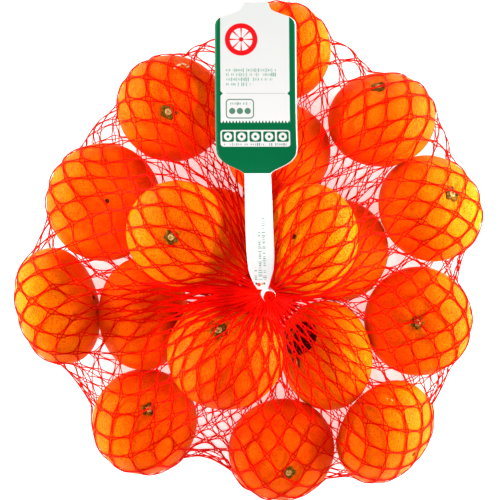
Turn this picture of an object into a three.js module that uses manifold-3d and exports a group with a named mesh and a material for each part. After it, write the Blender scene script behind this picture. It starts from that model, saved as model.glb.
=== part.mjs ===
// Net of mandarins: eighteen loose mandarins in a knitted net bag that lies flat,
// gathered by a metal clip at each end, with a folded label clamped in the top clip.
// Millimetres, +Z up. The origin is on the floor under the middle of the bag, and the
// label points towards +Y.
import * as THREE from "three";
import { mergeVertices } from "three/addons/utils/BufferGeometryUtils.js";
import Module from "manifold-3d";

const wasm = await Module();
wasm.setup();

// ---------------------------------------------------------------- driving dimensions
const FRUIT_POWER = 2.2;        // cross-section of a mandarin: a little squarer than an ellipse
const NET_THICKNESS = 0.9;      // two crossing strands of the net
const FLOOR_PRESS = 0.4;        // how far the fruit press the net flat against the floor
const REST_FLAT = 0.35;         // the net lies flat on the floor where it is lower than this
const WRAP_DETAIL = 19;         // fineness of the wrapped surface
const WRAP_HALF = new THREE.Vector3(185, 190, 110);        // it starts as a ball of this size
const WRAP_MIDDLE = 40;         // with its centre this high over the floor
const WRAP_STEPS = 900;         // rounds of tightening it
const WRAP_PULL = 0.9;          // how far a point goes to its neighbours' middle in each
const WRAP_SAG = 0.14;          // how far the slack net sinks in each
const SAG_ABOVE = 30;           // where it is higher than this
const FRUIT_REACH = 40;         // nothing further from a fruit's centre touches it
const SINK_STEPS = 45;          // rounds in which the net then sinks between the fruit
const SINK = 0.6;               // how far a free point sinks in each of them
const SINK_MOST = 20;           // and at most in all
const SINK_CLEAR = 40;          // less within this distance of the upper clip
const SINK_EASE = 0.12;         // how strongly its neighbours hold it back
const SINK_FLOOR = 7;           // the upper layer stays this high over the floor

const GATHER_TOP = new THREE.Vector3(8.2, -21.2, 71.0);    // where the net enters the top clip
const TOP_AXIS = new THREE.Vector3(0.2, -0.36, 0.91).normalize();
const GATHER_BASE = new THREE.Vector3(6.0, -27.0, 11.5);   // where it enters the clip underneath
const BASE_AXIS = new THREE.Vector3(0, 0, -1);
const HOLLOW_RADIUS = 24;       // the hollow in the underside that holds the lower clip
const HOLLOW_HEIGHT = 11.5;

const NECK_RADIUS = 2.5;        // gathered net inside a clip
const NECK_FLARE = 3.0;         // the cut end of the gathered net
const TOP_NECK = 13.0;
const BASE_NECK = 9.5;

const CLIP_INNER = 2.9;
const CLIP_THICKNESS = 0.9;
const CLIP_WIDTH = 3.6;
const CLIP_OPENING = 100;       // degrees left open by the bent band
const CLIP_STEPS = 36;          // sections along the band

const LABEL_THICKNESS = 0.9;    // two leaves of film pressed together
const LABEL_LENGTH = 160.4;     // from the clip to the tip, measured flat along the floor
const LABEL_STEP = 4.0;         // a section at least this often along it
const LABEL_START = new THREE.Vector2(6.0, -18.0);
const LABEL_TURN = 1.25;        // degrees from +Y towards -X
const STRAP_END_HALF = 4.2;
const STRAP_HALF = 7.6;
const PANEL_HALF = 23.0;
const NECK_HALF = 7.2;

// ---------------------------------------------------------------- the mandarins
// Each row: centre x, y; height of the centre, or null where it rests on the floor;
// radius; polar height as a part of the radius; ovalness; lean of its axis from the
// vertical in degrees and the direction of that lean.
const FRUIT = {
  f01: [-45.0, 81.5, null, 31.6, 0.76, 0.97, 9, -107],
  f02: [-84.0, 27.5, null, 34.2, 0.72, 0.97, 8, 0],
  f03: [-109.5, -32.0, null, 33.8, 0.65, 1.0, 80, 14],
  f04: [-60.5, -98.5, null, 30.2, 0.78, 1.02, 24, 69],
  f05: [-61.0, -36.5, null, 32.4, 0.7, 0.94, 62, 0],
  f06: [-39.5, 9.0, 65.5, 30.2, 0.74, 0.97, 11, -150],
  f07: [-13.5, -57.0, 57.5, 33.2, 0.72, 1.03, 35, 106],
  f08: [30.5, 5.5, 67.5, 32.2, 0.72, 0.92, 18, 165],
  f09: [50.5, 0.0, null, 29.6, 0.76, 1.0, 5, 0],
  f10: [43.5, -60.5, null, 31.6, 0.71, 0.95, 55, 190],
  f11: [18.0, 114.5, null, 28.8, 0.78, 1.0, 6, 100],
  f12: [16.5, 56.5, null, 30.0, 0.78, 1.0, 35, 90],
  f13: [75.5, 75.0, null, 31.0, 0.75, 1.0, 52, 98],
  f14: [103.5, 24.0, null, 31.4, 0.76, 0.97, 35, 36],
  f15: [96.5, -41.0, null, 31.6, 0.76, 0.98, 5, 180],
  f16: [77.5, -104.0, null, 31.4, 0.71, 1.0, 64, -38],
  f17: [18.0, -114.5, null, 30.6, 0.77, 1.0, 32, -72],
  f18: [-22.0, 7.0, null, 29.4, 0.74, 1.0, 4, 40],
};

// Height of the centre of a fruit above the floor it rests on.
function restHeight(half, axes) {
  const q = FRUIT_POWER / (FRUIT_POWER - 1);
  const side = Math.hypot(half[0] * axes[0].z, half[1] * axes[1].z);
  return (side ** q + Math.abs(half[2] * axes[2].z) ** q) ** (1 / q);
}

function makeFruit([x, y, height, radius, ratio, oval, leanDeg, turnDeg]) {
  const lean = THREE.MathUtils.degToRad(leanDeg);
  const turn = THREE.MathUtils.degToRad(turnDeg);
  const pole = new THREE.Vector3(
    Math.sin(lean) * Math.cos(turn), Math.sin(lean) * Math.sin(turn), Math.cos(lean));
  const along = new THREE.Vector3(
    Math.cos(lean) * Math.cos(turn), Math.cos(lean) * Math.sin(turn), -Math.sin(lean));
  const across = new THREE.Vector3().crossVectors(pole, along);
  const axes = [along, across, pole];
  const half = [radius * oval, radius, radius * ratio];
  const z = height ?? restHeight(half, axes);
  return { centre: new THREE.Vector3(x, y, z), axes, half };
}

// 1 on the net drawn over a fruit, less inside it and more outside.
const offset = new THREE.Vector3();
function fruitLevel(fruit, point) {
  offset.subVectors(point, fruit.centre);
  const grow = NET_THICKNESS;
  const u = offset.dot(fruit.axes[0]) / (fruit.half[0] + grow);
  const v = offset.dot(fruit.axes[1]) / (fruit.half[1] + grow);
  const w = Math.abs(offset.dot(fruit.axes[2])) / (fruit.half[2] + grow);
  return (Math.hypot(u, v) ** FRUIT_POWER + w ** FRUIT_POWER) ** (1 / FRUIT_POWER);
}

// A point inside a fruit goes straight out to the net drawn over it.
function pushOut(point, fruits) {
  for (const fruit of fruits) {
    if (point.distanceTo(fruit.centre) > FRUIT_REACH) continue;
    const level = fruitLevel(fruit, point);
    if (level < 1) point.sub(fruit.centre).divideScalar(level).add(fruit.centre);
  }
}

// ---------------------------------------------------------------- the filled net
// A ball of even triangles around the whole heap is tightened like a skin: every point
// moves to the middle of its neighbours, then back outside the fruit and the floor.
function neighboursOf(index, count) {
  const near = Array.from({ length: count }, () => new Set());
  for (let i = 0; i < index.length; i += 3) {
    for (let k = 0; k < 3; k += 1) {
      near[index[i + k]].add(index[i + ((k + 1) % 3)]);
      near[index[i + k]].add(index[i + ((k + 2) % 3)]);
    }
  }
  return near.map((set) => [...set]);
}

function nearestPoint(points, target, above) {
  let best = -1;
  let least = Infinity;
  points.forEach((p, i) => {
    const side = above ? p.z > target.z : p.z < target.z;
    const reach = Math.hypot(p.x - target.x, p.y - target.y);
    if (side && reach < least) {
      least = reach;
      best = i;
    }
  });
  return best;
}

// The tight skin gives way between the fruit: every free point of it that isn't on the floor
// moves inwards, square to the skin, and so the fruit stand out as they do through a net.
function sinkIn(points, near, index, fruits, top) {
  const start = points.map((p) => p.clone());
  const normal = points.map(() => new THREE.Vector3());
  const middle = new THREE.Vector3();
  const side = new THREE.Vector3();
  const other = new THREE.Vector3();
  for (let step = 0; step < SINK_STEPS; step += 1) {
    normal.forEach((n) => n.set(0, 0, 0));
    for (let i = 0; i < index.length; i += 3) {
      const [a, b, c] = [index[i], index[i + 1], index[i + 2]];
      side.subVectors(points[b], points[a]);
      other.subVectors(points[c], points[a]);
      side.cross(other);
      [a, b, c].forEach((k) => normal[k].add(side));
    }
    points.forEach((p, i) => {
      const held = start[i].distanceTo(GATHER_BASE) < HOLLOW_RADIUS;
      if (i === top || held || start[i].z < SINK_FLOOR) return;
      middle.set(0, 0, 0);
      near[i].forEach((j) => middle.add(points[j]));
      p.lerp(middle.divideScalar(near[i].length), SINK_EASE);
      p.addScaledVector(normal[i].normalize(), -SINK);
      const free = Math.min(1, start[i].distanceTo(GATHER_TOP) / SINK_CLEAR);
      other.subVectors(p, start[i]).clampLength(0, SINK_MOST * free);
      p.copy(start[i]).add(other);
      pushOut(p, fruits);
      p.z = Math.max(p.z, SINK_FLOOR);
    });
  }
}

function wrapFruit(fruits) {
  const ball = new THREE.IcosahedronGeometry(1, WRAP_DETAIL);
  ball.deleteAttribute("normal");
  ball.deleteAttribute("uv");
  const skin = mergeVertices(ball, 1e-5);
  const index = skin.index.array;
  const position = skin.attributes.position;
  const points = [];
  for (let i = 0; i < position.count; i += 1) {
    const p = new THREE.Vector3().fromBufferAttribute(position, i).multiply(WRAP_HALF);
    p.z += WRAP_MIDDLE;
    points.push(p);
  }
  const near = neighboursOf(index, points.length);
  const top = nearestPoint(points, GATHER_TOP, true);
  const base = nearestPoint(points, GATHER_BASE, false);
  const middle = points.map(() => new THREE.Vector3());
  for (let step = 0; step < WRAP_STEPS; step += 1) {
    points.forEach((p, i) => {
      middle[i].set(0, 0, 0);
      near[i].forEach((j) => middle[i].add(points[j]));
      middle[i].divideScalar(near[i].length);
    });
    points.forEach((p, i) => {
      p.lerp(middle[i], WRAP_PULL);
      if (p.z > SAG_ABOVE) p.z -= WRAP_SAG;
      pushOut(p, fruits);
      const reach = Math.hypot(p.x - GATHER_BASE.x, p.y - GATHER_BASE.y) / HOLLOW_RADIUS;
      const lift = reach < 1 ? HOLLOW_HEIGHT * (1 - reach ** 2) ** 1.5 : 0;
      if (p.z < lift) p.z = lift;
    });
    points[top].copy(GATHER_TOP);
    points[base].copy(GATHER_BASE);
  }
  sinkIn(points, near, index, fruits, top);
  points.forEach((p, i) => position.setXYZ(i, p.x, p.y, p.z < REST_FLAT ? 0 : p.z));
  return skin;
}

// A body of revolution along an axis, from a closed profile of [radius, distance].
function turned(profile, segments, start, axis) {
  const shape = new THREE.LatheGeometry(
    profile.map(([r, s]) => new THREE.Vector2(r, s)), segments);
  shape.applyQuaternion(
    new THREE.Quaternion().setFromUnitVectors(new THREE.Vector3(0, 1, 0), axis));
  shape.translate(start.x, start.y, start.z);
  return shape;
}

function neck(start, axis, length) {
  const from = start.clone().addScaledVector(axis, -4);
  const full = length + 4;
  return turned([
    [0, 0], [NECK_RADIUS, 0], [NECK_RADIUS, full - 2], [NECK_FLARE, full - 0.6],
    [NECK_FLARE - 0.6, full], [0, full - 0.4],
  ], 20, from, axis);
}

function asSolid(geometry) {
  const bare = geometry.clone();
  bare.deleteAttribute("normal");
  bare.deleteAttribute("uv");
  const merged = mergeVertices(bare, 1e-4);
  return new wasm.Manifold(new wasm.Mesh({
    numProp: 3,
    vertProperties: new Float32Array(merged.attributes.position.array),
    triVerts: new Uint32Array(merged.index.array),
  }));
}

function asGeometry(solid) {
  const mesh = solid.getMesh();
  const geometry = new THREE.BufferGeometry();
  geometry.setAttribute("position", new THREE.BufferAttribute(mesh.vertProperties, 3));
  geometry.setIndex(new THREE.BufferAttribute(mesh.triVerts, 1));
  geometry.computeVertexNormals();
  return geometry;
}

// ---------------------------------------------------------------- the metal clips
// A flat band bent most of the way round the gathered net, its ends rounded.
function clip(start, axis, along, openTowards) {
  const middle = start.clone().addScaledVector(axis, along);
  const side = openTowards.clone().addScaledVector(axis, -openTowards.dot(axis)).normalize();
  const radius = CLIP_INNER + CLIP_THICKNESS / 2;
  const open = THREE.MathUtils.degToRad(CLIP_OPENING / 2);
  const knots = 24;
  const path = new THREE.CatmullRomCurve3(
    Array.from({ length: knots + 1 }, (_, i) => {
      const angle = open + (i / knots) * (2 * Math.PI - 2 * open);
      return side.clone().applyAxisAngle(axis, angle).multiplyScalar(radius).add(middle);
    }));
  // The band's section, its corners cut, swept round the neck.
  const t = CLIP_THICKNESS / 2;
  const w = CLIP_WIDTH / 2;
  const section = [
    [t - 0.25, -w], [t, -w + 0.35], [t, w - 0.35], [t - 0.25, w],
    [-t + 0.25, w], [-t, w - 0.35], [-t, -w + 0.35], [-t + 0.25, -w],
  ];
  const roundEnd = [0.45, 0.75, 0.93];
  const points = [];
  const faces = [];
  for (let i = 0; i <= CLIP_STEPS; i += 1) {
    const at = path.getPoint(i / CLIP_STEPS);
    const out = at.clone().sub(middle).normalize();
    const narrow = roundEnd[Math.min(i, CLIP_STEPS - i)] ?? 1;
    section.forEach(([a, b]) => {
      points.push(at.clone().addScaledVector(out, a).addScaledVector(axis, b * narrow));
    });
  }
  const n = section.length;
  const end = CLIP_STEPS * n;
  for (let i = 0; i < CLIP_STEPS; i += 1) {
    for (let k = 0; k < n; k += 1) {
      const a = i * n + k;
      const b = i * n + ((k + 1) % n);
      faces.push(a, a + n, b, b, a + n, b + n);
    }
  }
  for (let k = 1; k < n - 1; k += 1) {
    faces.push(0, k, k + 1);
    faces.push(end, end + k + 1, end + k);
  }
  return closedFrom(points, faces);
}

// Points and faces as one closed body, turned inside out when its volume is negative.
function closedFrom(points, faces) {
  let volume = 0;
  for (let i = 0; i < faces.length; i += 3) {
    const [a, b, c] = [points[faces[i]], points[faces[i + 1]], points[faces[i + 2]]];
    volume += a.dot(new THREE.Vector3().crossVectors(b, c));
  }
  const turnedFaces = volume > 0 ? faces : faces.slice().reverse();
  const geometry = new THREE.BufferGeometry();
  geometry.setFromPoints(points);
  geometry.setIndex(turnedFaces);
  geometry.computeVertexNormals();
  return geometry;
}

// ---------------------------------------------------------------- the label
// Half the label's width at a distance from the clip, measured flat along the floor.
const LABEL_OUTLINE = [
  [0, STRAP_END_HALF], [3, 5.4], [7, 6.7], [14, 7.5], [26, STRAP_HALF], [60, STRAP_HALF - 0.2],
  [61.6, 8.2], [63.6, 10.4], [67.4, 15.4], [70.2, 20.0], [72.6, 22.2], [75.5, PANEL_HALF],
  [146.5, PANEL_HALF], [149, 22.2], [151, 20.0], [152.6, 15.4], [153.8, 11.6], [155.2, 9.2],
  [156.8, 8.0], [159.6, NECK_HALF], [LABEL_LENGTH, NECK_HALF - 0.2],
];
// Height of the label's underside: it leaves the clip, is pulled over the two raised
// mandarins, and rests on the two mandarins beyond them.
const LABEL_PROFILE = [
  [0, 80.6], [4, 82.6], [8, 84.4], [13, 86.2], [19, 87.0], [26, 86.7], [32, 85.5], [38, 83.1],
  [44, 79.2], [50, 73.4], [56, 67.0], [62, 61.2], [68, 57.0], [74, 54.7], [82, 52.8],
  [94, 50.6], [107, 48.8], [120, 47.5], [134, 46.6], [148, 45.4], [LABEL_LENGTH, 43.6],
];

// The value at a distance, on straight lines between a table's rows.
function between(table, at) {
  const after = table.findIndex(([t]) => t >= at);
  const i = after === -1 ? table.length - 1 : Math.max(1, after);
  const [t0, v0] = table[i - 1];
  const [t1, v1] = table[i];
  return v0 + ((v1 - v0) * (at - t0)) / (t1 - t0);
}

function label() {
  const turn = THREE.MathUtils.degToRad(90 + LABEL_TURN);
  const way = new THREE.Vector2(Math.cos(turn), Math.sin(turn));
  const side = new THREE.Vector2(way.y, -way.x);
  const heights = new THREE.CatmullRomCurve3(
    LABEL_PROFILE.map(([t, z]) => new THREE.Vector3(t, z, 0)), false, "centripetal");
  const fine = heights.getPoints(320).map((p) => [p.x, p.y]);
  const stations = new Set(LABEL_OUTLINE.map(([t]) => t));
  for (let t = LABEL_STEP; t < LABEL_LENGTH - 1; t += LABEL_STEP) stations.add(t);
  const list = [...stations].sort((a, b) => a - b).filter((t, i, all) => {
    const gap = i === 0 ? Infinity : t - all[i - 1];
    return gap > 0.7;
  });
  const points = [];
  const faces = [];
  list.forEach((t) => {
    const half = between(LABEL_OUTLINE, t);
    const z = between(fine, t);
    const next = Math.min(t + 0.5, LABEL_LENGTH);
    const before = Math.max(t - 0.5, 0);
    const slope = (between(fine, next) - between(fine, before)) / (next - before);
    const tilt = Math.hypot(1, slope);
    const corners = [[-half, 0], [half, 0], [half, 1], [-half, 1]];
    corners.forEach(([w, up]) => {
      const lift = up * LABEL_THICKNESS;
      const along = t - (slope / tilt) * lift;
      points.push(new THREE.Vector3(
        LABEL_START.x + way.x * along + side.x * w,
        LABEL_START.y + way.y * along + side.y * w,
        z + lift / tilt));
    });
  });
  const last = list.length - 1;
  for (let i = 0; i < last; i += 1) {
    for (let k = 0; k < 4; k += 1) {
      const a = i * 4 + k;
      const b = i * 4 + ((k + 1) % 4);
      faces.push(a, b, a + 4, b, b + 4, a + 4);
    }
  }
  faces.push(0, 2, 1, 0, 3, 2);
  const e = last * 4;
  faces.push(e, e + 1, e + 2, e, e + 2, e + 3);
  return closedFrom(points, faces);
}

// ---------------------------------------------------------------- assembly
function named(name, geometry, color, roughness, metalness) {
  const material = new THREE.MeshStandardMaterial({ color, roughness, metalness });
  const mesh = new THREE.Mesh(geometry, material);
  mesh.name = name;
  return mesh;
}

const fruits = Object.values(FRUIT).map(makeFruit);
fruits.forEach((fruit, i) => {
  const onFloor = Object.values(FRUIT)[i][2] === null;
  if (onFloor) fruit.centre.z += NET_THICKNESS - FLOOR_PRESS;
});

const filled = asSolid(wrapFruit(fruits))
  .add(asSolid(neck(GATHER_TOP, TOP_AXIS, TOP_NECK)))
  .add(asSolid(neck(GATHER_BASE, BASE_AXIS, BASE_NECK)));

const model = new THREE.Group();
model.add(named("net_bag", asGeometry(filled), 0xf26a12, 0.55, 0));
model.add(named("top_clip",
  clip(GATHER_TOP, TOP_AXIS, 9.0, new THREE.Vector3(0.6, -1, 0)), 0xe4e4e6, 0.35, 0.9));
model.add(named("base_clip",
  clip(GATHER_BASE, BASE_AXIS, 5.2, new THREE.Vector3(1, 0, 0)), 0xe4e4e6, 0.35, 0.9));
model.add(named("label", label(), 0xf1f2f1, 0.45, 0));

// The origin goes under the middle of the whole.
const middle = new THREE.Box3().setFromObject(model, true).getCenter(new THREE.Vector3());
model.position.set(-middle.x, -middle.y, 0);

export default model;
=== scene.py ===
# %% [markdown]
# # A net of mandarins
#
# Eighteen mandarins lie loose in a knitted red net. The net is gathered by a bent metal
# clip at each end, and a long printed label is clamped in the upper clip and lies over the
# fruit. The solids of the part are already packed, so the script starts from that frame
# and dresses it. Every length is written in millimetres, as a maker would read it from a
# ruler, and is turned into metres at the moment a mesh is made.

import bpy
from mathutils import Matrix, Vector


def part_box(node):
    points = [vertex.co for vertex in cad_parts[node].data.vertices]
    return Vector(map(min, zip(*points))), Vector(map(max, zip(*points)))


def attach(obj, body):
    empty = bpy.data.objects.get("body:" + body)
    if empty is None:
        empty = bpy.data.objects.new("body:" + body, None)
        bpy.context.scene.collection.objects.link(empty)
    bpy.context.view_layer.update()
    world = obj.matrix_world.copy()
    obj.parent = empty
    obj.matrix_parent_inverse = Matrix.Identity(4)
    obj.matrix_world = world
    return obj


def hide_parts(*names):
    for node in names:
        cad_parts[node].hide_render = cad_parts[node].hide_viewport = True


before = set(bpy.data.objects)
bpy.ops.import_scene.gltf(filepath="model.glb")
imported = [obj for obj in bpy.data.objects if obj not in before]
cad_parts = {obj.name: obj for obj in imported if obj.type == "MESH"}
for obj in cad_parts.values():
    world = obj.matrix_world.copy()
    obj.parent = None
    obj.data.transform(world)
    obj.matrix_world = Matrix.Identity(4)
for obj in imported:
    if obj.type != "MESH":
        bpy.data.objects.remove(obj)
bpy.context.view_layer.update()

from collections import namedtuple
from functools import reduce
from math import atan, cos, exp, hypot, pi, radians, sin

import bmesh
import bpy
import numpy as np
from mathutils import Matrix, Vector

print("packed solids:", ", ".join(sorted(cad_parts)))

# %% [markdown]
# ## Millimetres and the frame
#
# The layout is measured from the spot on the table right below the lens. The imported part
# has its origin in the middle of the bag, a little to one side, so one small shift takes a
# measured point into the frame. The upper clip is a good witness: both must agree on it.

# %% From measured millimetres to the frame
MM = 0.001
BAG_MIDDLE = np.array([0.751, -0.515, 0.0])      # the frame's origin, in measured millimetres


def to_frame(points):
    """Measured points in millimetres as points of the frame in metres."""
    return (np.asarray(points, float) - BAG_MIDDLE) * MM


GATHER_TOP = np.array([8.2, -21.2, 71.0])        # where the net enters the upper clip
TOP_AXIS = np.array([0.2, -0.36, 0.91]) / np.linalg.norm([0.2, -0.36, 0.91])
GATHER_BASE = np.array([6.0, -27.0, 11.5])       # where it enters the clip underneath
BASE_AXIS = np.array([0.0, 0.0, -1.0])
TOP_NECK, BASE_NECK = 9.0, 5.2                   # from there to the middle of each clip
TOP_CLIP_AT = GATHER_TOP + TOP_NECK * TOP_AXIS
BASE_CLIP_AT = GATHER_BASE + BASE_NECK * BASE_AXIS

low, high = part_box("top_clip")
middle = (low + high) / 2
gap_to_solid = (to_frame(TOP_CLIP_AT) - np.array(middle)) / MM
print("upper clip is off by mm:", gap_to_solid.round(1).tolist())

# %% [markdown]
# ## Camera, light and floor
#
# The bag is seen from straight above, from far enough away that the fruit hardly lean
# outwards. A long lens does that: 1.2 m up, with a field of view of 14 degrees. Two long
# soft lights stand low on the left and on the right, so that the flanks of the fruit turn
# a lighter orange than their tops, and a wide soft light fills in from above. The floor is
# white and gives off a little light of its own, which takes the shadows away as a light
# table does.

# %% Camera
CAMERA_HEIGHT = 1.2
HALF_PICTURE = 250                # the square picture is 500 px wide
LENS_PIXELS = 2041.8              # distance of the picture plane, in the same pixels

scene = bpy.context.scene
scene.view_settings.view_transform = "Standard"
scene.view_settings.look = "Medium High Contrast"

camera = bpy.data.objects.new("camera", bpy.data.cameras.new("camera"))
camera.data.angle = 2 * atan(HALF_PICTURE / LENS_PIXELS)
camera.location = (*(-BAG_MIDDLE[:2] * MM), CAMERA_HEIGHT)
scene.collection.objects.link(camera)
scene.camera = camera
print("field of view:", round(camera.data.angle * 180 / pi, 2), "degrees")


def table_point(px, py, height):
    """The measured x and y of a picture pixel at a height over the table, in millimetres."""
    scale = (CAMERA_HEIGHT / MM - height) / LENS_PIXELS
    return (px - HALF_PICTURE) * scale, (HALF_PICTURE - py) * scale


# %% Soft lights
LIGHTS_AIM = (0.0, 0.0, 0.04)
WORLD_STRENGTH = 0.12
# name, place and size in metres, and power in watts
LIGHTS = [
    ("left_light", (-0.73, 0.15, 0.18), (0.9, 0.26), 12.6),
    ("right_light", (0.74, 0.14, 0.18), (0.9, 0.26), 15.2),
    ("top_light", (0.0, -0.60, 1.48), (1.2, 1.0), 12.6),
]


def soft_light(name, place, size, power):
    """A rectangular soft light at a place, turned towards the middle of the bag."""
    lamp = bpy.data.lights.new(name, "AREA")
    lamp.shape = "RECTANGLE"
    lamp.size, lamp.size_y = size
    lamp.energy = power
    light = bpy.data.objects.new(name, lamp)
    light.location = place
    way = Vector(LIGHTS_AIM) - Vector(place)
    light.rotation_euler = way.to_track_quat("-Z", "Y").to_euler()
    scene.collection.objects.link(light)


for light_row in LIGHTS:
    soft_light(*light_row)

world = bpy.data.worlds.new("studio")
world.use_nodes = True
background = world.node_tree.nodes["Background"]
background.inputs["Color"].default_value = (1, 1, 1, 1)
background.inputs["Strength"].default_value = WORLD_STRENGTH
scene.world = world
print(len(LIGHTS), "soft lights")


# %% [markdown]
# ## A short way to write materials
#
# A material is a small graph of nodes. Writing each link by hand hides the idea behind the
# wiring, so a little helper adds a node, fills its sockets with numbers or with other
# nodes' outputs, and hands back the output that is wanted.

# %% Node helper
class Graph:
    """Adds nodes to a material or a node group."""

    def __init__(self, tree):
        self.tree = tree

    def fill(self, node, inputs):
        """Links outputs of other nodes to a node's sockets, and sets plain values on them."""
        for key, value in dict(inputs).items():
            if isinstance(value, bpy.types.NodeSocket):
                self.tree.links.new(value, node.inputs[key])
            else:
                node.inputs[key].default_value = value
        return node

    def node(self, kind, inputs=(), **settings):
        made = self.tree.nodes.new(kind)
        for name, value in settings.items():
            setattr(made, name, value)
        return self.fill(made, inputs)

    def math(self, operation, *values, clamp=False):
        made = self.node("ShaderNodeMath", enumerate(values), operation=operation, use_clamp=clamp)
        return made.outputs[0]

    def less(self, value, other):
        return self.math("SUBTRACT", value, other)

    def times(self, value, other):
        return self.math("MULTIPLY", value, other)

    def size(self, value):
        return self.math("ABSOLUTE", value)

    def ramp(self, value, low, high, to_low=0.0, to_high=1.0):
        inputs = {"Value": value, "From Min": low, "From Max": high, "To Min": to_low, "To Max": to_high}
        return self.node("ShaderNodeMapRange", inputs).outputs["Result"]

    def blend(self, factor, first, second):
        made = self.node("ShaderNodeMix", {0: factor, 6: first, 7: second}, data_type="RGBA")
        return made.outputs[2]

    def noise(self, where, scale, detail=2.0, roughness=0.5):
        inputs = {"Vector": where, "Scale": scale, "Detail": detail, "Roughness": roughness}
        return self.node("ShaderNodeTexNoise", inputs).outputs["Fac"]

    def bump(self, strength, distance, height):
        inputs = {"Strength": strength, "Distance": distance, "Height": height}
        return self.node("ShaderNodeBump", inputs).outputs["Normal"]

    def place(self):
        return self.node("ShaderNodeTexCoord").outputs["Object"]

    def attribute(self, name):
        return self.node("ShaderNodeAttribute", attribute_name=name).outputs["Fac"]


def new_material(name):
    """A material with its Principled shader, and a graph to add nodes to."""
    material = bpy.data.materials.new(name)
    material.use_nodes = True
    return material, Graph(material.node_tree), material.node_tree.nodes["Principled BSDF"]


def colour(red, green, blue):
    """A colour as it reads on a screen, 0 to 255, turned into light."""
    def light(value):
        share = value / 255
        return share / 12.92 if share <= 0.04045 else ((share + 0.055) / 1.055) ** 2.4
    return (light(red), light(green), light(blue), 1.0)


def grey(value):
    return (value, value, value, 1.0)


# %% Floor
FLOOR_SIZE = 4.0
FLOOR_GLOW = 0.45
floor_look, floor_graph, floor_shader = new_material("white_table")
floor_grain = floor_graph.ramp(floor_graph.noise(floor_graph.place(), 3.0), 0.3, 0.7)
floor_graph.fill(floor_shader, {
    "Base Color": floor_graph.blend(floor_grain, grey(0.90), grey(0.93)), "Roughness": 0.9,
    "Specular IOR Level": 0.0, "Emission Color": grey(1.0), "Emission Strength": FLOOR_GLOW})

bm = bmesh.new()
bmesh.ops.create_grid(bm, x_segments=1, y_segments=1, size=FLOOR_SIZE / 2)
floor_mesh = bpy.data.meshes.new("floor")
bm.to_mesh(floor_mesh)
bm.free()
floor = bpy.data.objects.new("floor", floor_mesh)
floor_mesh.materials.append(floor_look)
scene.collection.objects.link(floor)
print("floor:", FLOOR_SIZE, "m wide")

# %% [markdown]
# ## Where the mandarins lie
#
# Each fruit is one row: where its middle is, how high it lies (or that it rests on the
# floor), how wide and how flat it is, and which way its axis leans. The same rows make the
# solids of the part. A mandarin is rounder than an ellipse at its shoulders, so its outline
# uses the power 2.2 instead of 2, which is called a superellipse.

# %% The layout of the fruit
FRUIT_POWER = 2.2
NET_UNDER_FRUIT = 0.5             # the fruit lie on the net, this far off the floor
STEM, BLOSSOM = "stem", "blossom"

# x, y, height of the middle (None where the fruit rests on the floor), radius, polar height
# as a share of the radius, ovalness, lean of the axis and its direction in degrees, which
# end of the fruit looks up along that axis, and its tone from 0, deep, to 1, light orange,
# which is partly the fruit's own colour and partly painted shade: fruit that lie in shade have deeper tones
LAYOUT = [
    (-45.0, 81.5, None, 31.6, 0.76, 0.97, 9, -107, STEM, 0.12),
    (-84.0, 27.5, None, 34.2, 0.72, 0.97, 8, 0, BLOSSOM, 0.25),
    (-109.5, -32.0, None, 33.8, 0.65, 1.0, 80, 14, BLOSSOM, 0.83),
    (-60.5, -98.5, None, 30.2, 0.78, 1.02, 24, 69, STEM, 0.38),
    (-61.0, -36.5, None, 32.4, 0.7, 0.94, 62, 0, BLOSSOM, 0.13),
    (-39.5, 9.0, 65.5, 30.2, 0.74, 0.97, 11, -150, STEM, 0.67),
    (-13.5, -57.0, 57.5, 33.2, 0.72, 1.03, 35, 106, STEM, 0.1),
    (30.5, 5.5, 67.5, 32.2, 0.72, 0.92, 18, 165, BLOSSOM, 0.77),
    (50.5, 0.0, None, 29.6, 0.76, 1.0, 5, 0, STEM, 0.5),
    (43.5, -60.5, None, 31.6, 0.71, 0.95, 55, 190, STEM, 0.86),
    (18.0, 114.5, None, 28.8, 0.78, 1.0, 6, 100, STEM, 0.46),
    (16.5, 56.5, None, 30.0, 0.78, 1.0, 35, 90, STEM, 0.25),
    (75.5, 75.0, None, 31.0, 0.75, 1.0, 52, 98, STEM, 0.29),
    (103.5, 24.0, None, 31.4, 0.76, 0.97, 35, 36, STEM, 0.82),
    (96.5, -41.0, None, 31.6, 0.76, 0.98, 5, 180, STEM, 0.55),
    (77.5, -104.0, None, 31.4, 0.71, 1.0, 64, -38, BLOSSOM, 0.73),
    (18.0, -114.5, None, 30.6, 0.77, 1.0, 32, -72, STEM, 0),
    (-22.0, 7.0, None, 29.4, 0.74, 1.0, 4, 40, STEM, 0.3),
]

Fruit = namedtuple("Fruit", "name centre axes half up tone")


def lay_out(number, row):
    """One fruit with its three axes (as rows) and its half sizes, in measured millimetres."""
    x, y, z, radius, ratio, oval, lean, turn, up, tone = row
    lean, turn = radians(lean), radians(turn)
    pole = np.array([sin(lean) * cos(turn), sin(lean) * sin(turn), cos(lean)])
    along = np.array([cos(lean) * cos(turn), cos(lean) * sin(turn), -sin(lean)])
    axes = np.stack([along, np.cross(pole, along), pole])
    half = np.array([radius * oval, radius, radius * ratio])
    if z is None:
        dual = FRUIT_POWER / (FRUIT_POWER - 1)
        side = hypot(half[0] * axes[0][2], half[1] * axes[1][2])
        z = (side ** dual + abs(half[2] * axes[2][2]) ** dual) ** (1 / dual) + NET_UNDER_FRUIT
    return Fruit(f"mandarin_{number:02d}", np.array([x, y, z]), axes, half, up, tone)


fruits = [lay_out(number, row) for number, row in enumerate(LAYOUT, 1)]
print(len(fruits), "mandarins,", round(2 * min(f.half[1] for f in fruits)), "to",
      round(2 * max(f.half[1] for f in fruits)), "mm across")

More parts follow.
